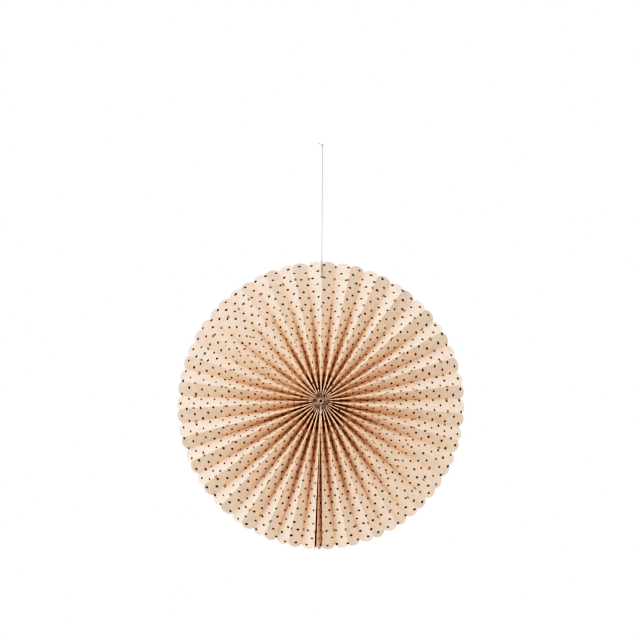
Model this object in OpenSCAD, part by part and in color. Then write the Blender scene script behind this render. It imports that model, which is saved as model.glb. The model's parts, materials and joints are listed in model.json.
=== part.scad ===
// Paper fan rosette on a hanging thread, in millimetres.
// The fan stands upright in the XZ plane with its hub at the origin and its front towards -Y.
// One strip of paper is pleated, closed to a ring and gathered at the hub. Even folds are
// ridges, which stand to the front, and odd folds are valleys. Azimuths run clockwise from
// the top ridge, as seen from the front, and the seam with its tight pleats is at the bottom.

/* [Fan] */
// Diameter over the scalloped rim
fan_d = 300; // [220:5:400]
// Open panels on each side, between the top ridge and the seam
side_panels = 32; // [24:2:40]
// Depth of the pleats at the rim, at the top of the fan
rim_depth = 5.4; // [3:0.1:10]
// Angle by which the panels at the sides are drawn down, so the top ones open widest
opening_lead = 4.8; // [0:0.1:6]
// Thickness of the paper
paper_t = 0.12; // [0.08:0.01:0.2]
// Clear gap between panels where they stack at the hub
stack_gap = 0.02; // [0.01:0.005:0.05]

/* [Rim and notches] */
// Rise of each panel's rounded end past its folds
scallop_rise = 3.5; // [2:0.1:6]
// Radius of the half-round notches cut in the folded edges
notch_r = 1.75; // [1:0.05:2.5]
// Distance of the outermost row of notches from the rim
notch_inset = 18; // [10:0.5:30]
// Distance between the rows of notches
notch_pitch = 32.4; // [16:0.1:40]
// Radius round the hub that has no notches
notch_free_r = 30; // [15:1:60]

/* [Seam] */
// Angle at the rim that the tight pleats at the bottom take up
seam_angle = 2.9; // [2.4:0.1:8]
// Angle by which the middle of the seam lies past the bottom of the fan, to the left
seam_shift = 0.9; // [-2:0.1:2]
// Places of the three folds inside the seam, as shares of its angle: valley, ridge, valley
tight_places = [0.08, 0.75, 0.9]; // [0.08:0.01:0.92]
// Depth of the shallow pleat in the seam, where the sheet's two ends lap
lap_depth = 10; // [4:0.5:14]

/* [Hub] */
// Length of the glue plug in the hub, from its back end
glue_l = 8; // [4:0.5:12]
// Clear gap between the glue plug and the panel ends
glue_gap = 0.05; // [0.02:0.01:0.1]

/* [Thread] */
// Diameter of the thread
thread_d = 0.8; // [0.4:0.05:1.1]
// Diameter of the two knots
knot_d = 2; // [1.4:0.1:3]
// Length of the cut end that stands out of the top knot
tail_l = 5; // [2:0.5:10]
// Rise of that cut end above the level
tail_rise_angle = 28; // [0:1:60]
// Clear gap between the thread, its knots and the paper
thread_gap = 0.2; // [0.15:0.01:0.3]

/* [Hidden] */

// Sides of the hexagon that stands for a whole notch, halved, and of each half of a scallop
notch_steps = 3;
scallop_steps = 2;
// Sides of the thread's section, and points along each leg of the tie
thread_sides = 8;
tie_steps = 5;

// Route of the thread, from the top of the tie knot to the top knot: X, Y, Z
thread_route = [
    [0, 0, 0], [0, 0, 2], [0, 0, 5], [0, 0, 10], [0, 0, 18], [0, 0, 26], [0, 0, 34], [0, 0, 42],
    [0, 0, 50], [0, 0, 58], [0, 0, 66], [0, 0, 74], [0, 0, 82], [0, 0, 90], [0, 0, 98], [0, 0, 106],
    [0, 0, 114], [0, 0, 120], [0, 0, 125], [0, 0, 128]
];

// The folds from the front: where each one starts at the hub and ends at the rim
tight_panels = len(tight_places) + 1;
folds = 2 * side_panels + tight_panels;
lap_fold = side_panels + 1;
rim_r = fan_d / 2;
fold_r = rim_r - scallop_rise;
hub_r = (paper_t + stack_gap) / (2 * sin(180 / folds));
right_angle = 180 + seam_shift - seam_angle / 2;
left_angle = 180 - seam_shift - seam_angle / 2;

function hub_azimuth(i) = 360 * i / folds;
function side_azimuth(i, angle) = angle * i / side_panels + opening_lead * sin(180 * i / side_panels);
function rim_azimuth(i) =
    i <= side_panels ? side_azimuth(i, right_angle)
    : i < side_panels + tight_panels ? right_angle + seam_angle * tight_places[i - side_panels - 1]
    : 360 - side_azimuth(folds - i, left_angle);
function on_circle(r, azimuth) = [r * sin(azimuth), r * cos(azimuth)];
function blend(a, b, share) = a * (1 - share) + b * share;
function fold_plan(i, r) =
    blend(on_circle(hub_r, hub_azimuth(i)), on_circle(fold_r, rim_azimuth(i)),
          (r - hub_r) / (fold_r - hub_r));

// All panels are as wide as the top one, which is the flattest where it reaches the rim
panel_w = norm([norm(fold_plan(1, rim_r) - fold_plan(0, rim_r)), rim_depth]);

// Half the width of the flat inside a fold, and of the flat outside it, so that a panel of
// that chord and depth keeps the paper's thickness
inner_flat = stack_gap / 4;
function outer_flat(chord, depth) =
    let (open = chord - 2 * inner_flat,
         fall = depth - paper_t,
         lean = paper_t / fall,
         reach = open * (1 - lean),
         run = (reach - sqrt(reach * reach - (1 - 2 * lean) * (open * open - paper_t * paper_t)))
               / (1 - 2 * lean))
    chord - inner_flat - run;

// The four section corners of one panel: front and back at its first fold, then at its second
function panel_corners(i, plan, along, chord, level, next_level) =
    let (outer = outer_flat(chord, level + next_level),
         ridge_first = i % 2 == 0,
         sign = ridge_first ? 1 : -1,
         first_outer = [outer, -sign * level],
         first_inner = [inner_flat, -sign * (level - paper_t)],
         last_inner = [chord - inner_flat, sign * (next_level - paper_t)],
         last_outer = [chord - outer, sign * next_level],
         corners = ridge_first ? [first_outer, first_inner, last_inner, last_outer]
                               : [first_inner, first_outer, last_outer, last_inner])
    [for (c = corners) [plan.x + along.x * c.x, c.y, plan.y + along.y * c.x]];

// Corners of all panels at one distance from the hub, drawn in from the folds by the cut edge
function ring_corners(r, cut) =
    let (plan = [for (i = [0 : folds - 1]) fold_plan(i, r)],
         run = [for (i = [0 : folds - 1]) plan[(i + 1) % folds] - plan[i]],
         depth = [for (v = run) sqrt(panel_w * panel_w - v * v)],
         level = [for (i = [0 : folds - 1])
             i == lap_fold ? lap_depth - panel_w / 2 : (depth[(i + folds - 1) % folds] + depth[i]) / 4],
         share = cut / panel_w)
    [for (i = [0 : folds - 1])
        let (chord = norm(run[i]),
             p = panel_corners(i, plan[i], run[i] / chord, chord, level[i], level[(i + 1) % folds]))
        each [blend(p[0], p[2], share), blend(p[1], p[3], share),
              blend(p[2], p[0], share), blend(p[3], p[1], share)]];

// Stations along a panel: distance from the hub, and how far its edges are cut in from the folds
notch_reach = rim_r - notch_inset;
notch_rows = 1 + floor((notch_reach - notch_free_r) / notch_pitch);
function notch_stations(r) =
    [for (k = [0 : notch_steps])
        let (a = 180 * k / notch_steps) [r - notch_r * cos(a), notch_r * sin(a)]];
scallop_r = (panel_w * panel_w / 4 + scallop_rise * scallop_rise) / (2 * scallop_rise);
scallop_half_angle = asin(panel_w / 2 / scallop_r);
scallop_stations =
    [for (k = [0 : scallop_steps])
        let (a = scallop_half_angle * (1 - 2 * k / (2 * scallop_steps + 1)))
        [rim_r - scallop_r * (1 - cos(a)), panel_w / 2 - scallop_r * sin(a)]];
stations = concat(
    [[hub_r, 0]],
    [for (row = [notch_rows - 1 : -1 : 0]) each notch_stations(notch_reach - row * notch_pitch)],
    scallop_stations);
last_station = len(stations) - 1;
flush = 0.001;
function is_folded(j) =
    j >= 0 && j < last_station && stations[j][1] < flush && stations[j + 1][1] < flush;

// Faces, each quad as two triangles, clockwise from outside
FRONT_A = 0;
BACK_A = 1;
FRONT_B = 2;
BACK_B = 3;
function corner(j, i, k) = (j * folds + i % folds) * 4 + k;
function quad(a, b, c, d) = [[a, b, c], [a, c, d]];
function panel_faces(j, i) = concat(
    quad(corner(j, i, FRONT_A), corner(j + 1, i, FRONT_A), corner(j + 1, i, FRONT_B), corner(j, i, FRONT_B)),
    quad(corner(j, i, BACK_A), corner(j, i, BACK_B), corner(j + 1, i, BACK_B), corner(j + 1, i, BACK_A)));
function fold_faces(j, i) = concat(
    quad(corner(j, i, FRONT_B), corner(j + 1, i, FRONT_B),
         corner(j + 1, i + 1, FRONT_A), corner(j, i + 1, FRONT_A)),
    quad(corner(j, i, BACK_B), corner(j, i + 1, BACK_A),
         corner(j + 1, i + 1, BACK_A), corner(j + 1, i, BACK_B)));
function cut_faces(j, i) = concat(
    quad(corner(j + 1, i, FRONT_A), corner(j, i, FRONT_A), corner(j, i, BACK_A), corner(j + 1, i, BACK_A)),
    quad(corner(j, i, FRONT_B), corner(j + 1, i, FRONT_B), corner(j + 1, i, BACK_B), corner(j, i, BACK_B)));
function fold_end_out(j, i) =
    quad(corner(j, i + 1, FRONT_A), corner(j, i, FRONT_B), corner(j, i, BACK_B), corner(j, i + 1, BACK_A));
function fold_end_in(j, i) =
    quad(corner(j, i, FRONT_B), corner(j, i + 1, FRONT_A), corner(j, i + 1, BACK_A), corner(j, i, BACK_B));
function panel_end_in(j, i) =
    quad(corner(j, i, FRONT_A), corner(j, i, FRONT_B), corner(j, i, BACK_B), corner(j, i, BACK_A));
function panel_end_out(j, i) =
    quad(corner(j, i, FRONT_B), corner(j, i, FRONT_A), corner(j, i, BACK_A), corner(j, i, BACK_B));
function strip_faces(i) = concat(
    panel_end_in(0, i),
    panel_end_out(last_station, i),
    [for (j = [0 : last_station - 1]) each
        concat(panel_faces(j, i), is_folded(j) ? fold_faces(j, i) : cut_faces(j, i))],
    [for (j = [0 : last_station - 1]) each
        is_folded(j) && !is_folded(j - 1) ? fold_end_in(j, i)
        : !is_folded(j) && is_folded(j - 1) ? fold_end_out(j, i) : []]);

// The top ridge that the thread is tied to: its front at a height above the hub
function top_ridge_y(r) =
    let (chord = norm(fold_plan(1, r) - fold_plan(0, r)))
    -sqrt(panel_w * panel_w - chord * chord) / 2;

// The tie goes through the top notch and over the end of that fold, where it lies in the corner
// between two scallops: Y, Z
tie_stand = thread_d / 2 + thread_gap;
tie_bend_r = tie_stand + paper_t / 2;
tie_over = tie_stand / cos(scallop_half_angle);
tie_low = notch_reach + notch_r;
UP = 1;
DOWN = -1;
function tie_heights() = [for (k = [0 : tie_steps]) blend(tie_low, fold_r, k / tie_steps)];
function tie_middle(z) = top_ridge_y(z) + paper_t / 2;
function tie_turn(z, reach, side) =
    [for (a = [45, 90, 135])
        [tie_middle(z) - side * tie_bend_r * cos(a), z + side * (reach - tie_bend_r * (1 - sin(a)))]];
tie_path = concat(
    [for (z = tie_heights()) [top_ridge_y(z) - tie_stand, z]],
    tie_turn(fold_r, tie_over, UP),
    [for (k = [tie_steps : -1 : 0]) let (z = tie_heights()[k]) [top_ridge_y(z) + paper_t + tie_stand, z]],
    tie_turn(tie_low, tie_stand, DOWN));

// The knots and the thread stand one above the other on the tie
thread_y = tie_middle(fold_r);
tie_knot_z = fold_r + tie_over + tie_stand + knot_d / 2;
thread_z = tie_knot_z + knot_d / 2 + thread_gap;
top_knot_z = thread_z + thread_route[len(thread_route) - 1].z + thread_gap + knot_d / 2;

// A thread swept along points in the YZ plane, as an open or a closed tube
function thread_ring(centre, direction) =
    let (side = [-direction.y, direction.x] / norm(direction))
    [for (k = [0 : thread_sides - 1])
        let (a = 360 * k / thread_sides, out = side * thread_d / 2 * sin(a))
        [thread_d / 2 * cos(a), centre.x + out.x, centre.y + out.y]];
function direction_at(path, k, closed) =
    let (n = len(path),
         before = closed ? (k + n - 1) % n : max(k - 1, 0),
         after = closed ? (k + 1) % n : min(k + 1, n - 1))
    path[after] - path[before];
module thread_tube(path, closed) {
    n = len(path);
    rings = closed ? n : n - 1;
    points = [for (k = [0 : n - 1]) each thread_ring(path[k], direction_at(path, k, closed))];
    walls = [for (k = [0 : rings - 1], s = [0 : thread_sides - 1])
        let (t = (s + 1) % thread_sides, m = (k + 1) % n)
        each quad(k * thread_sides + s, k * thread_sides + t, m * thread_sides + t, m * thread_sides + s)];
    ends = closed ? [] : [
        [for (s = [thread_sides - 1 : -1 : 0]) s],
        [for (s = [0 : thread_sides - 1]) (n - 1) * thread_sides + s]];
    polyhedron(points, concat(walls, ends));
}

module knot_ball(z) {
    translate([0, thread_y, z]) sphere(d = knot_d, $fn = 32);
}

// One sheet of printed paper, pleated, notched along its folds and scalloped at the rim
module pleated_paper() {
    color("#f0dfc6")
        polyhedron([for (s = stations) each ring_corners(s[0], s[1])],
                   [for (i = [0 : folds - 1]) each strip_faces(i)]);
}

// A plug of clear glue that holds the inner ends of the panels
module hub_glue() {
    plug_r = hub_r * cos(180 / folds) - glue_gap;
    color("#d9d0c0")
        translate([0, panel_w / 2, 0]) rotate([90, 0, 0])
            cylinder(r = plug_r, h = glue_l, $fn = 32);
}

// The thread's lower loop, tied round the end of the top ridge
module thread_tie() {
    color("#8f8a84") thread_tube(tie_path, true);
}

module tie_knot() {
    color("#8f8a84") knot_ball(tie_knot_z);
}

module hanging_thread() {
    color("#a6a29c")
        thread_tube([for (p = thread_route) [thread_y + p.y, thread_z + p.z]], false);
}

// The upper knot, with the thread's cut end standing out to the left
module top_knot() {
    color("#6d6965") {
        knot_ball(top_knot_z);
        translate([0, thread_y, top_knot_z]) rotate([0, tail_rise_angle - 90, 0])
            cylinder(d = thread_d, h = knot_d / 2 + tail_l, $fn = 16);
    }
}

pleated_paper();
hub_glue();
thread_tie();
tie_knot();
hanging_thread();
top_knot();
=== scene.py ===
"""Looks of a paper fan rosette that hangs on a thread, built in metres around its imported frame.

The fan stands upright in the XZ plane with its hub at the origin and its front towards -Y.
Even folds are ridges, which stand to the front, and odd folds are valleys. Azimuths run
clockwise from the top ridge, as seen from the front.
"""
import json
import math
import random

import bpy
import numpy as np
from bpy.props import FloatProperty, FloatVectorProperty, IntProperty, PointerProperty
from mathutils import Matrix, Vector


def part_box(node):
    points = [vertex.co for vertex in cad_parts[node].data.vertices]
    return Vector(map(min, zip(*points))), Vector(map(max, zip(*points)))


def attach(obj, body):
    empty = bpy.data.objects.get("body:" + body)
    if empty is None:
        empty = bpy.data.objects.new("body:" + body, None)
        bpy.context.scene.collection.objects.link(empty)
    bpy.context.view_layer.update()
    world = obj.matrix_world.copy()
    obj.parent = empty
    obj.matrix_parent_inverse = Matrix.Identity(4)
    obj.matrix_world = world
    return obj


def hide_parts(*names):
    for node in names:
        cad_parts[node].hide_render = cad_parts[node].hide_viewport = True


bl_info = {
    "name": "Paper fan rosette",
    "version": (1, 0, 0),
    "blender": (4, 5, 0),
    "location": "3D View > Sidebar > Paper fan",
    "description": "Pleats a printed paper fan, ties its thread and sets its stage",
    "category": "Add Mesh",
}

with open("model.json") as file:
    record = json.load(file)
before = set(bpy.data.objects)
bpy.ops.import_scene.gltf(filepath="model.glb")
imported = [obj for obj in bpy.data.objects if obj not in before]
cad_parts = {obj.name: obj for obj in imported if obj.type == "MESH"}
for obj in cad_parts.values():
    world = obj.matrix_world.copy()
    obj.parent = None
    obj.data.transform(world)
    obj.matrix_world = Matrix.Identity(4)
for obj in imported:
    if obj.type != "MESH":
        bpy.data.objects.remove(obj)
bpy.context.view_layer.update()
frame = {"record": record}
BODY = "root"
STRIP_MAP = "strip"

# Route of the thread, from the top of the tie knot to the top knot: X, Y, Z in metres
THREAD_ROUTE = [
    (0, 0, 0), (0, 0, 0.002), (0, 0, 0.005), (0, 0, 0.010), (0, 0, 0.018),
    (0, 0, 0.026), (0, 0, 0.034), (0, 0, 0.042), (0, 0, 0.050), (0, 0, 0.058),
    (0, 0, 0.066), (0, 0, 0.074), (0, 0, 0.082), (0, 0, 0.090), (0, 0, 0.098),
    (0, 0, 0.106), (0, 0, 0.114), (0, 0, 0.120), (0, 0, 0.125), (0, 0, 0.128),
]


def length(name, description, default):
    return FloatProperty(name=name, description=description, default=default, unit="LENGTH", precision=5)


def angle(name, description, degrees):
    return FloatProperty(name=name, description=description, default=math.radians(degrees), subtype="ANGLE")


def colour(name, description, default):
    return FloatVectorProperty(
        name=name, description=description, default=(*default, 1.0), size=4, min=0, max=1, subtype="COLOR"
    )


def number(name, description, default):
    return FloatProperty(name=name, description=description, default=default)


class FanPaperSettings(bpy.types.PropertyGroup):
    """Sizes and colours of the pleated sheet"""

    fan_d: length("Diameter", "Diameter over the scalloped rim", 0.3)
    side_panels: IntProperty(name="Side panels", description="Open panels on each side", default=32)
    rim_depth: length("Rim depth", "Depth of the pleats at the top of the rim", 0.0054)
    opening_lead: angle("Opening lead", "Angle by which the panels at the sides are drawn down", 4.8)
    paper_t: length("Paper", "Thickness of the paper", 0.00012)
    stack_gap: length("Stack gap", "Clear gap between panels at the hub", 0.00002)
    scallop_rise: length("Scallop rise", "Rise of each panel's rounded end", 0.0035)
    notch_r: length("Notch radius", "Radius of the notches cut in the folds", 0.00175)
    notch_inset: length("Notch inset", "Distance of the outer notches from the rim", 0.018)
    notch_pitch: length("Notch pitch", "Distance between the rows of notches", 0.0324)
    notch_free_r: length("Notch-free radius", "Radius round the hub that has no notches", 0.03)
    seam_angle: angle("Seam angle", "Angle that the tight pleats take up at the rim", 3.3)
    seam_shift: angle("Seam shift", "Angle of the seam's middle past the bottom", 0.6)
    tight_places: FloatVectorProperty(
        name="Tight folds",
        description="Places of the folds inside the seam, as shares of its angle",
        size=3,
        default=(0.06, 0.71, 0.88),
    )
    lap_depth: length("Lap depth", "Depth of the shallow pleat in the seam", 0.0128)
    lap_drop: length("Lap drop", "How far the ridge beside that pleat stands back at the rim", 0.0045)
    lap_round: length("Lap rounding", "Half width of that ridge", 0.0007)
    panel_bow: length("Panel bow", "Most that a panel bows out at the rim", 0.00035)
    fold_round: length("Fold rounding", "Half width of the rounded folds near the hub", 0.00034)
    fold_reach: length("Rounding reach", "Radius at which the folds become sharp", 0.09)
    fold_wander: angle("Fold wander", "Most that a fold strays from its even place at the rim", 0.22)
    gather_wander: angle("Gather wander", "Most that a fold strays where the pleats draw together", 1.5)
    gather_r: length("Gather radius", "Radius at which the folds stray most", 0.02)
    sheet_colour: colour("Paper colour", "Printed side of the sheet", (0.88, 0.635, 0.485))
    back_colour: colour("Back colour", "Plain side of the sheet", (0.89, 0.66, 0.49))
    edge_colour: colour("Edge colour", "Cut edges of the sheet", (0.90, 0.69, 0.53))
    # Painted light: paper made warmer and lighter near the hub, for light bounced between the pleats and
    # shone through the paper.
    painted_glow_colour: colour("Glow colour", "Paper lit through its pleats near the hub", (0.94, 0.68, 0.495))
    # Painted highlight: the paler fold ends round the hub.
    tip_highlight_colour: colour("Tip colour", "Ends of the folds, pressed together at the hub", (0.97, 0.85, 0.77))
    ink_colour: colour("Ink colour", "Printed dots", (0.028, 0.014, 0.006))
    dot_pitch: length("Dot pitch", "Distance between dots of one row, and between like rows", 0.01388)
    dot_start: length("Dot start", "Place of the first dot along the strip", -0.0038)
    dot_w: length("Dot width", "Size of a dot along the strip", 0.0037)
    dot_h: length("Dot height", "Size of a dot across the strip", 0.0022)


class FanThreadSettings(bpy.types.PropertyGroup):
    """Sizes and colours of the thread and the glue"""

    thread_d: length("Thread", "Diameter of the thread", 0.0008)
    twist_pitch: length("Twist", "Length of one turn of the thread's twist", 0.003)
    knot_d: length("Knot", "Diameter of the two knots", 0.002)
    thread_gap: length("Clearance", "Clear gap between the thread, its knots and the paper", 0.0002)
    thread_colour: colour("Thread colour", "Twisted sewing thread", (0.02, 0.019, 0.018))
    glue_colour: colour("Glue colour", "Set glue at the hub", (0.38, 0.30, 0.26))


class FanStageSettings(bpy.types.PropertyGroup):
    """Camera, lights and floor"""

    camera_distance: length("Camera distance", "From the camera to the fan's plane", 0.717)
    camera_side: length("Camera side", "Place of the camera to the right of the hub", -0.0013)
    camera_drop: length("Camera drop", "Depth of the camera below the hub", 0.0387)
    camera_pitch: angle("Camera pitch", "Angle by which the camera looks up", 7.61)
    lens_rise: number("Lens rise", "Upward shift of the lens, as a share of the picture", 0.0425)
    camera_roll: angle("Camera roll", "Turn of the camera about its view", 0.4)
    lens: FloatProperty(name="Lens", description="Focal length in millimetres", default=38.58)
    floor_drop: length("Floor", "Depth of the floor below the hub", 0.5)
    key_power: FloatProperty(name="Key light", description="Power in watts", default=12.2, unit="POWER")
    fill_power: FloatProperty(name="Fill light", description="Power in watts", default=7.8, unit="POWER")
    top_power: FloatProperty(name="Top light", description="Power in watts", default=3.5, unit="POWER")
    light_colour: colour("Light colour", "Tint of the lights", (1.0, 1.0, 1.0))
    back_power: FloatProperty(name="Back light", description="Power in watts", default=14.0, unit="POWER")
    ambient: number("Ambient", "Strength of the light from all round", 0.21)
    ambient_colour: colour("Ambient colour", "Light from all round", (1.0, 1.0, 1.0))
    # Painted shade: the backdrop behind the sheet gives off these colours, as a wall in the fan's shadow
    # would look; no lamp lights it.
    shade_colour: colour("Shade colour", "Shaded backdrop seen through the notches", (0.29, 0.15, 0.058))
    coral_shade_colour: colour("Coral colour", "Redder places of that backdrop", (0.32, 0.168, 0.118))


# Help with objects and modifiers


def use_alone(piece):
    """Makes piece the only selected object, and the active one."""
    bpy.ops.object.select_all(action="DESELECT")
    piece.select_set(True)
    bpy.context.view_layer.objects.active = piece


def name_new(name):
    """Names the object that an operator has just added, and its data."""
    piece = bpy.context.object
    piece.name = name
    piece.data.name = name
    return piece


def mesh_piece(name, vertices, faces):
    """Adds a piece with the given points and faces."""
    mesh = bpy.data.meshes.new(name)
    mesh.from_pydata(vertices, [], faces)
    piece = bpy.data.objects.new(name, mesh)
    bpy.context.scene.collection.objects.link(piece)
    use_alone(piece)
    return piece


def apply_modifier(piece, kind, **settings):
    use_alone(piece)
    modifier = piece.modifiers.new(kind.title(), kind)
    for key, value in settings.items():
        setattr(modifier, key, value)
    bpy.ops.object.modifier_apply(modifier=modifier.name)


def weld(piece, distance):
    """Merges the points of piece that lie closer together than distance."""
    use_alone(piece)
    bpy.ops.object.mode_set(mode="EDIT")
    bpy.ops.mesh.select_all(action="SELECT")
    bpy.ops.mesh.remove_doubles(threshold=distance)
    bpy.ops.object.mode_set(mode="OBJECT")


def points_of(mesh):
    co = np.empty(len(mesh.vertices) * 3, np.float32)
    mesh.vertices.foreach_get("co", co)
    return co.reshape(-1, 3).astype(float)


def set_points(mesh, co):
    mesh.vertices.foreach_set("co", np.ascontiguousarray(co, np.float32).ravel())
    mesh.update()


def finish_piece(piece, node, slot, *materials):
    """Gives piece its materials, and lets it stand for a node on the one body."""
    piece.data.materials.clear()
    for material in materials:
        piece.data.materials.append(material)
    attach(piece, BODY)
    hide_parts(node)


# The folds of the sheet


def on_circle(r, azimuth):
    return np.stack([r * np.sin(azimuth), r * np.cos(azimuth)], axis=-1)


class FoldPlan:
    """Where each fold of the sheet runs from the hub to the rim."""

    WANDER_SEED = 11
    STEADY_FOLDS = 2

    def __init__(self, paper):
        self.paper = paper
        self.tight_panels = len(paper.tight_places) + 1
        self.folds = 2 * paper.side_panels + self.tight_panels
        self.lap_fold = paper.side_panels + 1
        self.rim_r = paper.fan_d / 2
        self.fold_r = self.rim_r - paper.scallop_rise
        self.hub_r = (paper.paper_t + paper.stack_gap) / (2 * math.sin(math.pi / self.folds))
        self.hub_points = on_circle(self.hub_r, 2 * math.pi * np.arange(self.folds) / self.folds)
        azimuths = np.array([self.rim_azimuth(i) for i in range(self.folds)])
        # The panels' width comes from the even folds, which stray only after that
        self.gather = np.zeros(self.folds)
        self.rim_points = on_circle(self.fold_r, azimuths)
        top_chord = np.linalg.norm(self.plan(self.rim_r)[1] - self.plan(self.rim_r)[0])
        self.panel_w = math.hypot(top_chord, paper.rim_depth)
        self.rim_points = on_circle(self.fold_r, azimuths + self.wander(paper.fold_wander))
        self.gather = self.wander(paper.gather_wander)

    def rim_azimuth(self, i):
        paper = self.paper
        right = math.pi + paper.seam_shift - paper.seam_angle / 2
        left = math.pi - paper.seam_shift - paper.seam_angle / 2
        if i <= paper.side_panels:
            return self.side_azimuth(i, right)
        if i < paper.side_panels + self.tight_panels:
            return right + paper.seam_angle * paper.tight_places[i - paper.side_panels - 1]
        return 2 * math.pi - self.side_azimuth(self.folds - i, left)

    def side_azimuth(self, i, side_angle):
        share = i / self.paper.side_panels
        return side_angle * share + self.paper.opening_lead * math.sin(math.pi * share)

    def wander(self, most):
        """Small strays of the folds, none at the top ridge that is tied or in the seam."""
        draw = random.Random(self.WANDER_SEED)
        strays = np.array([draw.uniform(-1, 1) for _ in range(self.folds)]) * most
        steady = self.STEADY_FOLDS
        seam = self.paper.side_panels
        strays[:steady] = strays[-steady + 1:] = 0
        strays[seam - 1:seam + self.tight_panels + 2] = 0
        return strays

    def plan(self, r):
        """X and Z of every fold at distance r from the hub."""
        share = (r - self.hub_r) / (self.fold_r - self.hub_r)
        plan = self.hub_points * (1 - share) + self.rim_points * share
        near = (r - self.hub_r) / self.paper.gather_r
        turn = self.gather * near * math.exp(1 - near)
        x, z = plan[:, 0], plan[:, 1]
        return np.stack([x * np.cos(turn) + z * np.sin(turn), z * np.cos(turn) - x * np.sin(turn)], axis=1)

    def levels(self, r):
        """How far every fold stands in front of the middle plane or behind it."""
        plan = self.plan(r)
        chord = np.linalg.norm(np.roll(plan, -1, axis=0) - plan, axis=1)
        depth = np.sqrt(self.panel_w**2 - chord**2)
        levels = (np.roll(depth, 1) + depth) / 4
        levels[self.lap_fold] = self.paper.lap_depth - self.panel_w / 2
        levels[self.lap_fold + 1] -= self.paper.lap_drop * r / self.rim_r
        return levels

    def fold_points(self, r):
        """The middle of the paper on every fold at distance r from the hub."""
        plan = self.plan(r)
        front = np.where(np.arange(self.folds) % 2 == 0, -1, 1)
        stand = front * (self.levels(r) - self.paper.paper_t / 2)
        return np.stack([plan[:, 0], stand, plan[:, 1]], axis=1)

    def ridge_front(self, r):
        """Y of the front of the top ridge."""
        return -self.levels(r)[0]

    def notch_reach(self):
        return self.rim_r - self.paper.notch_inset


class PanelRows:
    """Rows along one flat panel: distance from the hub, and how far its edges are cut in."""

    NOTCH_STEPS = 6
    SCALLOP_STEPS = 6
    PLAIN_STEP = 0.0095

    def __init__(self, plan):
        paper = plan.paper
        self.rows = [(plan.hub_r, 0.0)]
        reach = plan.notch_reach()
        count = 1 + int((reach - paper.notch_free_r) / paper.notch_pitch)
        for row in range(count - 1, -1, -1):
            self.add_notch(reach - row * paper.notch_pitch, paper.notch_r)
        self.add_plain(plan.fold_r)
        self.add_scallop(plan, paper.scallop_rise)

    def add_plain(self, end):
        """Plain rows up to end, at about even steps."""
        start = self.rows[-1][0]
        steps = max(1, round((end - start) / self.PLAIN_STEP))
        self.rows += [(start + (end - start) * k / steps, 0.0) for k in range(1, steps + 1)]

    def add_notch(self, middle, notch_r):
        self.add_plain(middle - notch_r)
        for k in range(1, self.NOTCH_STEPS + 1):
            a = math.pi * k / self.NOTCH_STEPS
            cut = 0.0 if k == self.NOTCH_STEPS else notch_r * math.sin(a)
            self.rows.append((middle - notch_r * math.cos(a), cut))

    def add_scallop(self, plan, rise):
        half_w = plan.panel_w / 2
        scallop_r = (half_w**2 + rise**2) / (2 * rise)
        half_angle = math.asin(half_w / scallop_r)
        for k in range(1, self.SCALLOP_STEPS + 1):
            a = half_angle * (1 - 2 * k / (2 * self.SCALLOP_STEPS + 1))
            self.rows.append((plan.rim_r - scallop_r * (1 - math.cos(a)), half_w - scallop_r * math.sin(a)))


# Node trees


def place(tree, kind, settings=None, feeds=None):
    """Adds a node, sets it, and feeds its inputs from sockets or with plain values."""
    node = tree.nodes.new(kind)
    for key, value in (settings or {}).items():
        setattr(node, key, value)
    for key, value in (feeds or {}).items():
        if isinstance(value, bpy.types.NodeSocket):
            tree.links.new(value, node.inputs[key])
        else:
            node.inputs[key].default_value = value
    return node


def sum_of(tree, operation, a, b=0.0):
    return place(tree, "ShaderNodeMath", {"operation": operation}, {0: a, 1: b}).outputs[0]


def vector_of(tree, operation, a, b=(0, 0, 0)):
    return place(tree, "ShaderNodeVectorMath", {"operation": operation}, {0: a, 1: b}).outputs[0]


def length_of(tree, vector):
    return place(tree, "ShaderNodeVectorMath", {"operation": "LENGTH"}, {0: vector}).outputs["Value"]


def ramp_of(tree, value, start, end, low=0.0, high=1.0):
    settings = {"interpolation_type": "SMOOTHSTEP"}
    feeds = {"Value": value, "From Min": start, "From Max": end, "To Min": low, "To Max": high}
    return place(tree, "ShaderNodeMapRange", settings, feeds).outputs["Result"]


def noise_of(tree, vector, scale, detail=2.0, roughness=0.5):
    feeds = {"Vector": vector, "Scale": scale, "Detail": detail, "Roughness": roughness}
    return place(tree, "ShaderNodeTexNoise", None, feeds).outputs["Fac"]


def mix_of(tree, share, a, b, blend="MIX"):
    node = place(tree, "ShaderNodeMix", {"data_type": "RGBA", "blend_type": blend}, {0: share, 6: a, 7: b})
    return node.outputs[2]


def layer_of(tree, mask, share, below, above):
    """A colour with another laid over it where the mask is, up to the given share."""
    return mix_of(tree, sum_of(tree, "MULTIPLY", mask, share), below, above)


def grey_of(tree, value):
    """A grey colour of the given value."""
    return place(tree, "ShaderNodeCombineColor", None, {k: value for k in range(3)}).outputs[0]


def toned(tree, base, tone):
    """The base colour, made lighter or darker by tone."""
    return mix_of(tree, 1.0, base, grey_of(tree, tone), "MULTIPLY")


def object_place(tree):
    return tree.nodes.new("ShaderNodeTexCoord").outputs["Object"]


def new_group(name, inputs, outputs):
    """An empty shader node group with named sockets, and its input and output nodes."""
    tree = bpy.data.node_groups.new(name, "ShaderNodeTree")
    for socket, kind in inputs:
        tree.interface.new_socket(socket, in_out="INPUT", socket_type=kind)
    for socket, kind in outputs:
        tree.interface.new_socket(socket, in_out="OUTPUT", socket_type=kind)
    return tree, tree.nodes.new("NodeGroupInput").outputs, tree.nodes.new("NodeGroupOutput").inputs


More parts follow.
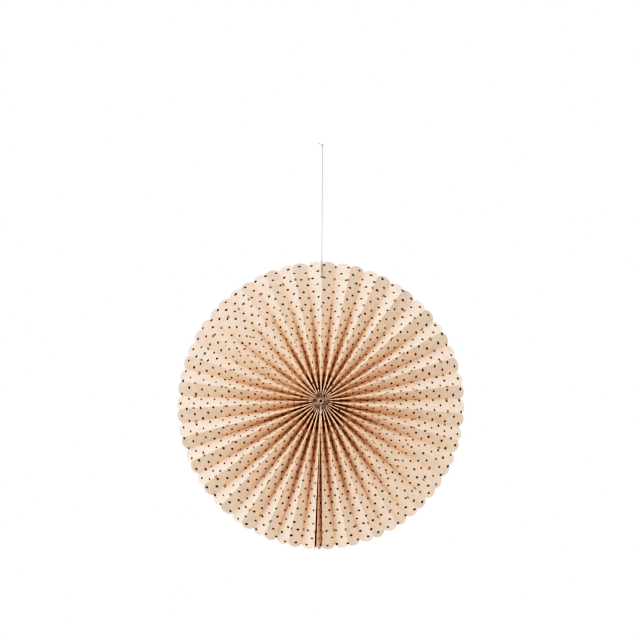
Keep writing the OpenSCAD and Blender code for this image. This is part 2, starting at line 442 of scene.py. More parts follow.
def use_group(tree, name, **feeds):
    """Places a node group; feeds are named as its sockets, with _ for a space."""
    node = tree.nodes.new("ShaderNodeGroup")
    node.node_tree = bpy.data.node_groups[name]
    for key, value in feeds.items():
        socket = node.inputs[key.replace("_", " ")]
        if isinstance(value, bpy.types.NodeSocket):
            tree.links.new(value, socket)
        else:
            socket.default_value = value
    return node.outputs


def new_material(name):
    """A material with only a Principled shader, its tree and that shader."""
    material = bpy.data.materials.new(name)
    material.use_nodes = True
    tree = material.node_tree
    tree.nodes.clear()
    output = tree.nodes.new("ShaderNodeOutputMaterial")
    shader = tree.nodes.new("ShaderNodeBsdfPrincipled")
    tree.links.new(shader.outputs["BSDF"], output.inputs["Surface"])
    return material, tree, shader


def add_bump(tree, shader, height, strength, distance):
    feeds = {"Strength": strength, "Distance": distance, "Height": height}
    bump = place(tree, "ShaderNodeBump", None, feeds)
    tree.links.new(bump.outputs["Normal"], shader.inputs["Normal"])


# Effects that several finishes share

DOT_RAGGED = 0.7
DOT_STRAY = 0.09
DOT_SIZES = (0.9, 1.12)
DOT_EDGE = (0.92, 1.08)

# Sizes of the paper's noise, in features per metre
RAGGED_SCALE = 900.0
CLOUD_SCALE = 160.0
SPECK_SCALE = 2600.0
FELT_SCALE = 1500.0
SMEAR_SCALE = 200.0
SMEAR_PLACE = (0, 0.1, 0)

# Radii round the hub between which each mask fades, in metres: the painted highlight on the fold ends, the
# start and the end of the glue smear, and the painted light in the pleats
TIP_HIGHLIGHT_RING = (0.0026, 0.0038)
SMEAR_START = (0.0022, 0.0034)
SMEAR_END = (0.0065, 0.0105)
PAINTED_GLOW_REACH = (0.015, 0.085)


def build_dot_print():
    """Rows of small seed-shaped dots on the flat strip, each second row set over by half a step."""
    scalar = "NodeSocketFloat"
    inputs = [("Strip", "NodeSocketVector"), ("Pitch", scalar), ("Width", scalar), ("Height", scalar)]
    tree, given, out = new_group("Dot print", inputs, [("Ink", scalar)])
    ragged = sum_of(tree, "SUBTRACT", noise_of(tree, given["Strip"], RAGGED_SCALE, 3.0), 0.5)
    ragged = sum_of(tree, "MULTIPLY", ragged, DOT_RAGGED)
    across = place(
        tree,
        "ShaderNodeCombineXYZ",
        None,
        {0: sum_of(tree, "DIVIDE", 2.0, given["Width"]), 1: sum_of(tree, "DIVIDE", 2.0, given["Height"])},
    ).outputs[0]
    pitch = place(tree, "ShaderNodeCombineXYZ", None, {k: given["Pitch"] for k in range(3)}).outputs[0]
    masks = []
    for shift in (0.0, 0.5):
        cells = vector_of(tree, "DIVIDE", given["Strip"], pitch)
        cells = vector_of(tree, "ADD", cells, (shift, shift, 0))
        cell = vector_of(tree, "ADD", vector_of(tree, "FLOOR", cells), (shift, 7 * shift, 0))
        chance = place(tree, "ShaderNodeTexWhiteNoise", None, {"Vector": cell}).outputs
        stray = vector_of(tree, "SUBTRACT", chance["Color"], (0.5, 0.5, 0.5))
        stray = vector_of(tree, "MULTIPLY", stray, (DOT_STRAY, DOT_STRAY, 0.0))
        offset = vector_of(tree, "SUBTRACT", vector_of(tree, "FRACTION", cells), (0.5, 0.5, 0.5))
        offset = vector_of(tree, "MULTIPLY", vector_of(tree, "ADD", offset, stray), pitch)
        offset = vector_of(tree, "MULTIPLY", offset, across)
        distance = length_of(tree, offset)
        size = ramp_of(tree, chance["Value"], 0.0, 1.0, *DOT_SIZES)
        distance = sum_of(tree, "ADD", sum_of(tree, "MULTIPLY", distance, size), ragged)
        masks.append(ramp_of(tree, distance, *DOT_EDGE, 1.0, 0.0))
    tree.links.new(sum_of(tree, "MAXIMUM", *masks), out["Ink"])


def build_paper_fibre():
    """Cloudy tone and fine felt of uncoated paper."""
    inputs = [("Place", "NodeSocketVector"), ("Colour", "NodeSocketColor"), ("Tooth", "NodeSocketFloat")]
    outputs = [("Colour", "NodeSocketColor"), ("Height", "NodeSocketFloat")]
    tree, given, out = new_group("Paper fibre", inputs, outputs)
    cloud = ramp_of(tree, noise_of(tree, given["Place"], CLOUD_SCALE, 3.0), 0.3, 0.7, 0.93, 1.05)
    speck = ramp_of(tree, noise_of(tree, given["Place"], SPECK_SCALE, 2.0), 0.25, 0.75, 0.96, 1.03)
    tone = sum_of(tree, "MULTIPLY", cloud, speck)
    tree.links.new(toned(tree, given["Colour"], tone), out["Colour"])
    felt = noise_of(tree, given["Place"], FELT_SCALE, 4.0, 0.65)
    tree.links.new(sum_of(tree, "MULTIPLY", felt, given["Tooth"]), out["Height"])


def build_fold_line():
    """A mask along the folds, from the strip coordinates and the width of a panel."""
    scalar = "NodeSocketFloat"
    inputs = [("Strip", "NodeSocketVector"), ("Panel", scalar), ("Reach", scalar)]
    tree, given, out = new_group("Fold line", inputs, [("Crease highlight", scalar)])
    along = place(tree, "ShaderNodeSeparateXYZ", None, {0: given["Strip"]}).outputs["X"]
    panels = sum_of(tree, "ADD", sum_of(tree, "DIVIDE", along, given["Panel"]), 0.5)
    from_fold = sum_of(tree, "ABSOLUTE", sum_of(tree, "SUBTRACT", sum_of(tree, "FRACT", panels), 0.5))
    from_fold = sum_of(tree, "MULTIPLY", from_fold, given["Panel"])
    tree.links.new(ramp_of(tree, from_fold, 0.0, given["Reach"], 1.0, 0.0), out["Crease highlight"])


def build_hub_smear_and_painted_light():
    """Masks round the hub: patches of soaked glue, a painted highlight on the fold ends, and painted light
    that makes the paper warmer and lighter near the hub.
    """
    scalar = "NodeSocketFloat"
    inputs = [("Place", "NodeSocketVector"), ("Inner", scalar), ("Outer", scalar)]
    outputs = [("Smear", scalar), ("Tip highlight", scalar), ("Painted glow", scalar)]
    tree, given, out = new_group("Hub smear and painted light", inputs, outputs)
    flat = vector_of(tree, "MULTIPLY", given["Place"], (1, 0, 1))
    radius = length_of(tree, flat)
    patch_place = vector_of(tree, "ADD", flat, SMEAR_PLACE)
    patch = ramp_of(tree, noise_of(tree, patch_place, SMEAR_SCALE), 0.42, 0.56)
    reach = ramp_of(tree, radius, given["Inner"], given["Outer"], 1.0, 0.0)
    reach = sum_of(tree, "MULTIPLY", reach, ramp_of(tree, radius, *SMEAR_START))
    tree.links.new(sum_of(tree, "MULTIPLY", reach, patch), out["Smear"])
    # Painted highlight: a pale ring on the fold ends close round the hub.
    tree.links.new(ramp_of(tree, radius, *TIP_HIGHLIGHT_RING, 1.0, 0.0), out["Tip highlight"])
    # Painted light: paper made warmer and lighter towards the hub, for light bounced between the pleats and
    # shone through the paper.
    tree.links.new(ramp_of(tree, radius, *PAINTED_GLOW_REACH, 1.0, 0.0), out["Painted glow"])


def build_effects():
    build_dot_print()
    build_paper_fibre()
    build_fold_line()
    build_hub_smear_and_painted_light()


# Finishes

CREASE_REACH = 0.0005

# How much of each layer covers the paper. The first layer is painted light, the second is partly whitened
# folds and partly a painted highlight, and the fourth is a painted highlight.
PAINTED_GLOW_SHARE = 0.8
CREASE_HIGHLIGHT_SHARE = 0.35
SMEAR_SHARE = 0.7
TIP_HIGHLIGHT_SHARE = 0.85
PRINT_SHARE = 0.96
SHOW_THROUGH = 0.16

PAPER_ROUGH = 0.78
SMEAR_ROUGH = 0.3


def sheet_finish(name, paper, plan, base, ink_share):
    """One side of the sheet, with its dots printed or only showing through."""
    material, tree, shader = new_material(name)
    strip = place(tree, "ShaderNodeUVMap", {"uv_map": STRIP_MAP}).outputs["UV"]
    spot = object_place(tree)
    hub = use_group(tree, "Hub smear and painted light", Place=spot, Inner=SMEAR_END[0], Outer=SMEAR_END[1])
    # Painted light: warmer, lighter paper towards the hub.
    painted_glow = layer_of(tree, hub["Painted glow"], PAINTED_GLOW_SHARE, base, paper.painted_glow_colour)
    fibre = use_group(tree, "Paper fibre", Place=spot, Colour=painted_glow, Tooth=1.0)
    crease_highlight = use_group(tree, "Fold line", Strip=strip, Panel=plan.panel_w, Reach=CREASE_REACH)["Crease highlight"]
    glue_colour = bpy.context.scene.fan_thread.glue_colour
    # Paler line along every fold: partly whitened folds, partly a painted highlight.
    shade = layer_of(tree, crease_highlight, CREASE_HIGHLIGHT_SHARE, fibre["Colour"], paper.edge_colour)
    shade = layer_of(tree, hub["Smear"], SMEAR_SHARE, shade, glue_colour)
    # Painted highlight: pale fold ends close round the hub.
    shade = layer_of(tree, hub["Tip highlight"], TIP_HIGHLIGHT_SHARE, shade, paper.tip_highlight_colour)
    print_place = vector_of(tree, "SUBTRACT", strip, (paper.dot_start, 0, 0))
    ink = use_group(
        tree, "Dot print", Strip=print_place, Pitch=paper.dot_pitch, Width=paper.dot_w, Height=paper.dot_h
    )["Ink"]
    shade = layer_of(tree, ink, ink_share, shade, paper.ink_colour)
    rough = ramp_of(tree, hub["Smear"], 0.0, 1.0, PAPER_ROUGH, SMEAR_ROUGH)
    tree.links.new(shade, shader.inputs["Base Color"])
    tree.links.new(rough, shader.inputs["Roughness"])
    shader.inputs["Specular IOR Level"].default_value = 0.3
    add_bump(tree, shader, fibre["Height"], 0.25, 0.0001)
    return material


def edge_finish(paper):
    """The cut edge of the sheet, where its pale core shows."""
    material, tree, shader = new_material("cut_paper_edge")
    spot = object_place(tree)
    fibre = use_group(tree, "Paper fibre", Place=spot, Colour=paper.edge_colour, Tooth=0.6)
    tree.links.new(fibre["Colour"], shader.inputs["Base Color"])
    shader.inputs["Roughness"].default_value = 0.85
    add_bump(tree, shader, fibre["Height"], 0.2, 0.0001)
    return material


def thread_finish(thread):
    """Twisted grey sewing thread with a little fuzz in its tone."""
    material, tree, shader = new_material("grey_thread")
    spot = object_place(tree)
    tone = ramp_of(tree, noise_of(tree, spot, 3500.0, 3.0), 0.3, 0.7, 0.65, 1.25)
    tree.links.new(toned(tree, thread.thread_colour, tone), shader.inputs["Base Color"])
    shader.inputs["Roughness"].default_value = 0.7
    add_bump(tree, shader, noise_of(tree, spot, 9000.0, 2.0), 0.3, 0.00003)
    return material


def glue_finish(thread):
    """Set glue: smooth and a little cloudy."""
    material, tree, shader = new_material("set_glue")
    spot = object_place(tree)
    cloud = ramp_of(tree, noise_of(tree, spot, 900.0, 3.0), 0.3, 0.7, 0.75, 1.2)
    tree.links.new(toned(tree, thread.glue_colour, cloud), shader.inputs["Base Color"])
    shader.inputs["Roughness"].default_value = 0.18
    shader.inputs["Coat Weight"].default_value = 0.4
    add_bump(tree, shader, noise_of(tree, spot, 700.0, 2.0), 0.3, 0.0002)
    return material


# Thread shapes

THREAD_SIDES = 16
THREAD_PLIES = 3
PLY_HOLLOW = 0.15
FUZZ = 1.18
RINGS_PER_TWIST = 12
KNOT_TURNS = 2.5
KNOT_LEAN = 0.6
POINTS_PER_TURN = 8
KNOT_STEPS = 6
SMOOTH_ROUND = math.radians(60)


def smooth_path(points, steps):
    """Points along a smooth curve through the given ones."""
    ends = [2 * points[0] - points[1], *points, 2 * points[-1] - points[-2]]
    path = []
    for a, b, c, d in zip(ends, ends[1:], ends[2:], ends[3:]):
        for k in range(steps):
            t = k / steps
            path.append(
                b
                + (c - a) * (t / 2)
                + (2 * a - 5 * b + 4 * c - d) * (t * t / 2)
                + (3 * b - a - 3 * c + d) * (t**3 / 2)
            )
    return [*path, points[-1]]


def even_path(points, step):
    """The same line with points no more than a step apart."""
    path = []
    for a, b in zip(points, points[1:]):
        count = max(1, math.ceil((b - a).length / step))
        path += [a.lerp(b, k / count) for k in range(count)]
    return [*path, points[-1]]


def thread_piece(name, path, thread, closed=False):
    """A thread of twisted plies along a path, as one tube."""
    count = len(path)
    vertices = []
    side = None
    run = 0.0
    for k, spot in enumerate(path):
        before = path[k - 1] if closed or k else spot
        after = path[(k + 1) % count] if closed or k < count - 1 else spot
        ahead = (after - before).normalized()
        if side is None:
            side = ahead.orthogonal() if abs(ahead.x) > 0.5 else Vector((1, 0, 0))
        side = (side - ahead * side.dot(ahead)).normalized()
        up = ahead.cross(side)
        run += (spot - path[k - 1]).length if k else 0.0
        for s in range(THREAD_SIDES):
            around = 2 * math.pi * s / THREAD_SIDES
            turned = THREAD_PLIES / 2 * (around - 2 * math.pi * run / thread.twist_pitch)
            r = FUZZ * thread.thread_d / 2 * (1 - PLY_HOLLOW * (1 - abs(math.cos(turned))))
            vertices.append(spot + side * (r * math.cos(around)) + up * (r * math.sin(around)))
    faces = []
    for k in range(count if closed else count - 1):
        m = (k + 1) % count
        for s in range(THREAD_SIDES):
            t = (s + 1) % THREAD_SIDES
            faces.append([i * THREAD_SIDES + j for i, j in ((k, s), (k, t), (m, t), (m, s))])
    if not closed:
        faces.append(list(reversed(range(THREAD_SIDES))))
        faces.append([(count - 1) * THREAD_SIDES + s for s in range(THREAD_SIDES)])
    piece = mesh_piece(name, vertices, faces)
    bpy.ops.object.shade_smooth_by_angle(angle=SMOOTH_ROUND)
    return piece


def knot_points(centre, thread):
    """A thread that rises through a knot and is wound back down round itself."""
    core = thread.knot_d / 2
    wind_r = (thread.knot_d - thread.thread_d) / 2
    half = core - thread.thread_d / 2
    points = [Vector((0, 0, z)) for z in (-core, -half, 0, half)]
    points.append(Vector((wind_r * KNOT_LEAN, 0, core)))
    count = int(KNOT_TURNS * POINTS_PER_TURN)
    for k in range(count + 1):
        a = 2 * math.pi * (k + 1) / POINTS_PER_TURN
        z = half * (1 - 2 * k / count)
        points.append(Vector((wind_r * math.cos(a), wind_r * math.sin(a), z)))
    return [centre + p for p in points]


def thread_material():
    material = bpy.data.materials.get("grey_thread")
    return material or thread_finish(bpy.context.scene.fan_thread)


def hanging_point():
    return Vector(frame["record"]["mounts"][0]["pos_m"])


class FAN_OT_hang_thread(bpy.types.Operator):
    """Runs the thread up from the tie knot and knots its upper end"""

    bl_idname = "fan_rosette.hang_thread"
    bl_label = "Hang thread"

    TAIL = [
        (-0.0012, 0, 0.0004), (-0.0024, 0, 0.0012), (-0.0036, 0.0001, 0.0020), (-0.0050, 0.0002, 0.00266)
    ]

    def execute(self, context):
        thread = context.scene.fan_thread
        low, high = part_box("hanging_thread")
        start = Vector(((low.x + high.x) / 2, (low.y + high.y) / 2, low.z))
        route = [start + Vector(p) for p in THREAD_ROUTE]
        step = thread.twist_pitch / RINGS_PER_TWIST
        line = thread_piece("thread_line", even_path(route, step), thread)
        finish_piece(line, "hanging_thread", "grey_thread", thread_material())
        centre = hanging_point()
        points = knot_points(centre, thread)
        points += [centre + Vector(p) for p in self.TAIL]
        knot = thread_piece("thread_top_knot", smooth_path(points, KNOT_STEPS), thread)
        finish_piece(knot, "top_knot", "grey_thread", thread_material())
        return {"FINISHED"}


class FAN_OT_tie_thread(bpy.types.Operator):
    """Ties the thread twice round the end of the top ridge, through its outer notch"""

    bl_idname = "fan_rosette.tie_thread"
    bl_label = "Tie thread"

    LEG_STEPS = 12
    CLOSE = 0.00015
    SPREAD = 0.00045
    BEND_STEPS = 8

    def loop_points(self, paper, thread):
        """Two turns side by side, which spread a little in front of the paper."""
        plan = FoldPlan(paper)
        stand = thread.thread_d / 2 + thread.thread_gap
        bottom = plan.notch_reach() + paper.notch_r
        low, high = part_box("thread_tie")
        shares = [k / self.LEG_STEPS for k in range(self.LEG_STEPS + 1)]
        fronts, backs = [], []
        for side in (-1, 1):
            front, behind = [], []
            for share in shares:
                z = bottom + (plan.fold_r - bottom) * share
                ridge = plan.ridge_front(z)
                out = self.CLOSE + (self.SPREAD - self.CLOSE) * math.sin(math.pi * share)
                front.append(Vector((side * out, ridge - stand, z)))
                behind.append(Vector((side * self.CLOSE, ridge + paper.paper_t + stand + self.CLOSE, z)))
            fronts.append(front)
            backs.append(behind[::-1])
        points = []
        for front, behind, after in zip(fronts, backs, reversed(fronts)):
            over = self.turn(front[-1], behind[0], high.z - thread.thread_d / 2)
            under = self.turn(behind[-1], after[0], low.z + thread.thread_d / 2)
            points += [*front, *over, *behind, *under]
        return points

    def turn(self, start, end, far_z):
        """A bend from start to end that reaches the level far_z."""
        middle = (start + end) / 2
        reach = Vector((0, 0, far_z - middle.z))
        arm = (start - end) / 2
        return [
            middle + arm * math.cos(a) + reach * math.sin(a)
            for a in (math.pi * k / self.BEND_STEPS for k in range(1, self.BEND_STEPS))
        ]

    def execute(self, context):
        thread = context.scene.fan_thread
        loop = self.loop_points(context.scene.fan_paper, thread)
        tie = thread_piece("thread_tie_loop", loop, thread, closed=True)
        finish_piece(tie, "thread_tie", "grey_thread", thread_material())
        low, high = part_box("tie_knot")
        points = knot_points((low + high) / 2, thread)
        knot = thread_piece("thread_tie_knot", smooth_path(points, KNOT_STEPS), thread)
        finish_piece(knot, "tie_knot", "grey_thread", thread_material())
        return {"FINISHED"}


class FAN_OT_pleat_paper(bpy.types.Operator):
    """Cuts, copies, folds and thickens the printed sheet"""

    bl_idname = "fan_rosette.pleat_paper"
    bl_label = "Pleat paper"

    COLUMNS = (0, 0.00035, 0.0008, 0.0016, 0.0034)
    ROUND_AT = 0.0007
    ROUND_SHARE = 0.3
    TURN_ROOM = 2.4
    LAP_LEAST = 0.2
    WELD = 5e-6
    ROW_DIGITS = 7
    SAME_ROW = 5e-7
    AT_FOLD = 1e-5
    BOW_SEED = 5
    SMOOTH_UP_TO = 25

    def cut_panel(self, plan):
        """One flat panel with rounded end and notched edges, from a grid."""
        rows = np.array(PanelRows(plan).rows)
        last = len(rows) - 1
        bpy.ops.object.select_all(action="DESELECT")
        near = [distance / plan.panel_w for distance in self.COLUMNS]
        shares = np.array([*near, 0.5, *(1 - share for share in reversed(near))])
        columns = len(shares) - 1
        bpy.ops.mesh.primitive_grid_add(x_subdivisions=columns, y_subdivisions=last, size=1)
        panel = name_new("folded_paper")
        co = points_of(panel.data)
        share = shares[np.rint((co[:, 0] + 0.5) * columns).astype(int)]
        row = np.rint((co[:, 1] + 0.5) * last).astype(int)
        cut = rows[row, 1]
        co[:, 0] = cut + (plan.panel_w - 2 * cut) * share
        co[:, 1] = rows[row, 0]
        set_points(panel.data, co)
        return panel

    def lay_strip(self, panel, plan):
        """The whole flat strip, with its own map in metres."""
        apply_modifier(
            panel,
            "ARRAY",
            count=plan.folds,
            use_relative_offset=False,
            use_constant_offset=True,
            constant_offset_displace=(plan.panel_w, 0, 0),
            use_merge_vertices=True,
            merge_threshold=self.WELD,
        )
        mesh = panel.data
        while mesh.uv_layers:
            mesh.uv_layers.remove(mesh.uv_layers[0])
        strip = mesh.uv_layers.new(name=STRIP_MAP)
        corner = np.empty(len(mesh.loops), np.int32)
        mesh.loops.foreach_get("vertex_index", corner)
        flat = points_of(mesh)[corner, :2]
        strip.uv.foreach_set("vector", flat.astype(np.float32).ravel())

    def fold(self, panel, plan, paper):
        """Moves every point of the flat strip to its place on the folded sheet."""
        co = points_of(panel.data)
        draw = random.Random(self.BOW_SEED)
        bows = np.array([draw.uniform(-1, 1) for _ in range(plan.folds)]) * paper.panel_bow
        seam = slice(paper.side_panels, paper.side_panels + plan.tight_panels)
        bows[seam] = 0
        turns = co[:, 0] / plan.panel_w
        i = np.clip(np.floor(turns + self.AT_FOLD).astype(int), 0, plan.folds - 1)
        share = (turns - i)[:, None]
        front = np.where(i % 2 == 0, 1, -1)[:, None]
        along = plan.fold_points(plan.fold_r) - plan.fold_points(plan.hub_r)
        folded = np.empty_like(co)
        for r in np.unique(np.round(co[:, 1], self.ROW_DIGITS)):
            pick = np.abs(co[:, 1] - r) < self.SAME_ROW
            points = plan.fold_points(r)
            first, second = points[i[pick]], points[(i[pick] + 1) % plan.folds]
            out = np.cross(second - first, along[i[pick]])
            out /= np.linalg.norm(out, axis=1)[:, None]
            bulge = bows[i[pick]][:, None] * 4 * share[pick] * (1 - share[pick]) * (r / plan.rim_r) ** 2
            bulge += front[pick] * self.rounding(i[pick], share[pick], r, plan, paper)
            folded[pick] = first * (1 - share[pick]) + second * share[pick] + out * bulge
        set_points(panel.data, folded)

    def rounding(self, panels, share, r, plan, paper):
        """How far panels swell next to their two folds, to the outer side of each fold."""
        pitch = 4 * math.pi * r / plan.folds
        room = max(0.0, self.ROUND_SHARE * (pitch - self.TURN_ROOM * paper.paper_t))
        fade = max(0.0, 1 - r / paper.fold_reach)
        swell = np.full(plan.folds, min(room, paper.fold_round) * fade)
        swell[plan.lap_fold + 1] = min(room, paper.lap_round) * max(self.LAP_LEAST, fade)
        first, second = (end * plan.panel_w / self.ROUND_AT for end in (share, 1 - share))
        first = swell[panels][:, None] * first * np.exp(1 - first)
        return first - swell[(panels + 1) % plan.folds][:, None] * second * np.exp(1 - second)

    def execute(self, context):
        paper = context.scene.fan_paper
        plan = FoldPlan(paper)
        sheet = self.cut_panel(plan)
        self.lay_strip(sheet, plan)
        self.fold(sheet, plan, paper)
        weld(sheet, self.WELD)
        finishes = [
            sheet_finish("printed_paper_front", paper, plan, paper.sheet_colour, PRINT_SHARE),
            sheet_finish("printed_paper_back", paper, plan, paper.back_colour, SHOW_THROUGH),
            edge_finish(paper),
        ]
        finish_piece(sheet, "pleated_paper", "printed_paper", *finishes)
        apply_modifier(
            sheet,
            "SOLIDIFY",
            thickness=paper.paper_t,
            offset=0.0,
            use_even_offset=False,
            use_rim=True,
            material_offset=1,
            material_offset_rim=2,
        )
        use_alone(sheet)
        bpy.ops.object.shade_smooth_by_angle(angle=math.radians(self.SMOOTH_UP_TO))
        return {"FINISHED"}


class FAN_OT_set_glue(bpy.types.Operator):
    """Fills the hub with set glue, domed at both ends"""

    bl_idname = "fan_rosette.set_glue"
    bl_label = "Set glue"

    DOME = 0.0005
    # Insets of each end as shares of the radius, with their rises as shares of the dome
    DOME_STEPS = ((0.22, 0.45), (0.3, 0.4), (0.3, 0.15))
    SIDES = 32
    FLAT = 1e-6

    def execute(self, context):
        low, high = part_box("hub_glue")
        middle = (low + high) / 2
        radius = (high.x - low.x) / 2
        bpy.ops.object.select_all(action="DESELECT")
        bpy.ops.mesh.primitive_cylinder_add(
            vertices=self.SIDES,
            radius=radius,
            depth=high.y - low.y,
            location=middle,
            rotation=(math.pi / 2, 0, 0),
        )
        glue = name_new("set_hub_glue")
        bpy.ops.object.transform_apply(location=True, rotation=True, scale=True)
        bpy.ops.object.mode_set(mode="EDIT")
        bpy.ops.mesh.select_mode(type="FACE")
        for side in (low.y, high.y):
            bpy.ops.mesh.select_all(action="DESELECT")
            bpy.ops.object.mode_set(mode="OBJECT")
            for face in glue.data.polygons:
                face.select = abs(face.center.y - side) < self.FLAT
            bpy.ops.object.mode_set(mode="EDIT")
            for share, rise in self.DOME_STEPS:
                bpy.ops.mesh.inset(thickness=radius * share, depth=self.DOME * rise)
        bpy.ops.object.mode_set(mode="OBJECT")
        bpy.ops.object.shade_smooth_by_angle(angle=SMOOTH_ROUND)
        finish_piece(glue, "hub_glue", "clear_glue", glue_finish(context.scene.fan_thread))
        return {"FINISHED"}


class FAN_OT_set_stage(bpy.types.Operator):
    """Sets the camera, the lights, the floor and a backdrop of painted shade"""

    bl_idname = "fan_rosette.set_stage"
    bl_label = "Set stage"

    FLOOR_SIZE = 1.2
    SHADE_R = 0.1365
    SHADE_GAP = 0.0004
    SHADE_RINGS = 14
    LIGHT_SIZE = 1.0
    KEY_AT = (-1.012, -0.65, 0.493)
    FILL_AT = (1.041, -1.202, 0.601)
    TOP_AT = (-0.139, -0.581, 1.591)
    BACK_AT = (0.5, 1.3, 0.7)
    TONES = [
        (0.02, 0.003), (0.04, 0.016), (0.1, 0.095), (0.2, 0.273), (0.3, 0.455),
        (0.4, 0.605), (0.5, 0.705), (0.6, 0.795), (0.7, 0.872), (0.85, 0.925),
    ]

    def set_tones(self, view):
        """A print-like tone curve: deep darks and soft lights."""
        view.view_transform = "Standard"
        view.use_curve_mapping = True
        curve = view.curve_mapping.curves[3]
        for x, y in self.TONES:
            curve.points.new(x, y)
        view.curve_mapping.update()

    def set_camera(self, stage):
        data = bpy.data.cameras.new("camera")
        data.lens = stage.lens
        data.sensor_width = 36.0
        data.shift_y = stage.lens_rise
        data.clip_start = 0.01
        camera = bpy.data.objects.new("camera", data)
        bpy.context.scene.collection.objects.link(camera)
        place_at = Matrix.Translation((stage.camera_side, -stage.camera_distance, -stage.camera_drop))
        look_up = Matrix.Rotation(math.pi / 2 + stage.camera_pitch, 4, "X")
        camera.matrix_world = place_at @ look_up @ Matrix.Rotation(stage.camera_roll, 4, "Z")
        bpy.context.scene.camera = camera

    def add_light(self, name, at, power, stage):
        data = bpy.data.lights.new(name, "AREA")
        data.size = self.LIGHT_SIZE
        data.energy = power
        data.color = stage.light_colour[:3]
        light = bpy.data.objects.new(name, data)
        light.location = at
        light.rotation_euler = (-Vector(at)).to_track_quat("-Z", "Y").to_euler()
        bpy.context.scene.collection.objects.link(light)

    def light_world(self, stage):
        """Even light from all round, in front of a white background."""
        world = bpy.data.worlds.new("studio")
        world.use_nodes = True
        tree = world.node_tree
        tree.nodes.clear()
        seen = tree.nodes.new("ShaderNodeLightPath").outputs["Is Camera Ray"]
        light = place(
            tree, "ShaderNodeBackground", None, {"Color": stage.ambient_colour, "Strength": stage.ambient}
        ).outputs[0]
        white = place(tree, "ShaderNodeBackground", None, {"Color": (1, 1, 1, 1)}).outputs[0]
        mixed = place(tree, "ShaderNodeMixShader", None, {0: seen, 1: light, 2: white}).outputs[0]
        output = tree.nodes.new("ShaderNodeOutputWorld")
        tree.links.new(mixed, output.inputs["Surface"])
        bpy.context.scene.world = world

    def floor_finish(self):
        material, tree, shader = new_material("pale_floor")
        spot = object_place(tree)
        tone = ramp_of(tree, noise_of(tree, spot, 6.0), 0.3, 0.7, 0.82, 0.86)
        tree.links.new(grey_of(tree, tone), shader.inputs["Base Color"])
        shader.inputs["Roughness"].default_value = 0.9
        return material

    def shade_finish(self, stage):
        """A backdrop that gives off the colours of painted shade, and only shows from the front."""
        material = bpy.data.materials.new("shaded_backdrop")
        material.use_nodes = True
        tree = material.node_tree
        tree.nodes.clear()
        spot = object_place(tree)
        share = ramp_of(tree, noise_of(tree, spot, 60.0, 2.0), 0.42, 0.58)
        # Painted shade: an emitted ochre and coral, not light that falls on the backdrop.
        shade_tint = mix_of(tree, share, stage.shade_colour, stage.coral_shade_colour)
        shade_emission = place(tree, "ShaderNodeEmission", None, {"Color": shade_tint, "Strength": 1.0}).outputs[0]
        clear = tree.nodes.new("ShaderNodeBsdfTransparent").outputs[0]
        behind = tree.nodes.new("ShaderNodeNewGeometry").outputs["Backfacing"]
        mixed = place(tree, "ShaderNodeMixShader", None, {0: behind, 1: shade_emission, 2: clear}).outputs[0]
        output = tree.nodes.new("ShaderNodeOutputMaterial")
        tree.links.new(mixed, output.inputs["Surface"])
        return material

    def add_floor(self, stage):
        bpy.ops.mesh.primitive_plane_add(size=self.FLOOR_SIZE, location=(0, 0, -stage.floor_drop))
        floor = name_new("floor")
        floor.data.materials.append(self.floor_finish())

    def add_shade(self, stage, paper):
        """A backdrop of painted shade, close behind the back folds of the sheet."""
        plan = FoldPlan(paper)
        rings = np.linspace(plan.hub_r, self.SHADE_R, self.SHADE_RINGS)
        points = np.concatenate([plan.fold_points(r)[1::2] for r in rings]) + (0, self.SHADE_GAP, 0)
        count = plan.folds // 2
        faces = []
        for inner in range(0, len(points) - count, count):
            outer = inner + count
            for k in range(count):
                after = (k + 1) % count
                faces.append([inner + k, inner + after, outer + after, outer + k])
        shade = mesh_piece("backdrop_shade", points.tolist(), faces)
        shade.data.materials.append(self.shade_finish(stage))
        for ray in ("diffuse", "glossy", "transmission", "volume_scatter", "shadow"):
            setattr(shade, "visible_" + ray, False)

    def execute(self, context):
        stage = context.scene.fan_stage
        self.set_tones(context.scene.view_settings)
        self.set_camera(stage)
        self.light_world(stage)
        self.add_light("key_light", self.KEY_AT, stage.key_power, stage)
        self.add_light("fill_light", self.FILL_AT, stage.fill_power, stage)
        self.add_light("top_light", self.TOP_AT, stage.top_power, stage)
        self.add_light("back_light", self.BACK_AT, stage.back_power, stage)
        bpy.ops.object.select_all(action="DESELECT")
        self.add_floor(stage)
        self.add_shade(stage, context.scene.fan_paper)
        return {"FINISHED"}


class FAN_PT_rosette(bpy.types.Panel):
    """Lists the steps and sizes of the paper fan"""

    bl_idname = "FAN_PT_rosette"
    bl_label = "Paper fan"
    bl_space_type = "VIEW_3D"
    bl_region_type = "UI"
    bl_category = "Paper fan"

    def draw(self, context):
        layout = self.layout
        for step in STEPS:
            layout.operator(step.bl_idname)
        for group in (context.scene.fan_paper, context.scene.fan_thread, context.scene.fan_stage):
            box = layout.box()
            for key in group.bl_rna.properties.keys():
                if key not in ("rna_type", "name"):
                    box.prop(group, key)


SETTINGS = {"fan_paper": FanPaperSettings, "fan_thread": FanThreadSettings, "fan_stage": FanStageSettings}
STEPS = (FAN_OT_set_stage, FAN_OT_hang_thread, FAN_OT_tie_thread, FAN_OT_pleat_paper, FAN_OT_set_glue)
CLASSES = (*SETTINGS.values(), *STEPS, FAN_PT_rosette)


def register():
    for item in CLASSES:
        bpy.utils.register_class(item)
    for name, group in SETTINGS.items():
        setattr(bpy.types.Scene, name, PointerProperty(type=group))


def unregister():
    for name in SETTINGS:
        delattr(bpy.types.Scene, name)
    for item in reversed(CLASSES):
        bpy.utils.unregister_class(item)


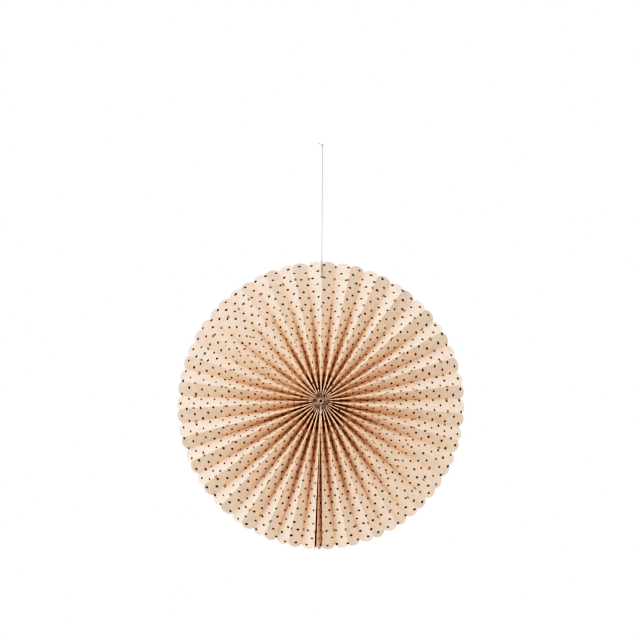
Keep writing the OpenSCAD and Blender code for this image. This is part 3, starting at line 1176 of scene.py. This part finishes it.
def main():
    register()
    build_effects()
    bpy.ops.fan_rosette.set_stage()
    bpy.ops.fan_rosette.hang_thread()
    bpy.ops.fan_rosette.tie_thread()
    bpy.ops.fan_rosette.pleat_paper()
    bpy.ops.fan_rosette.set_glue()


if __name__ == "__main__":
    main()
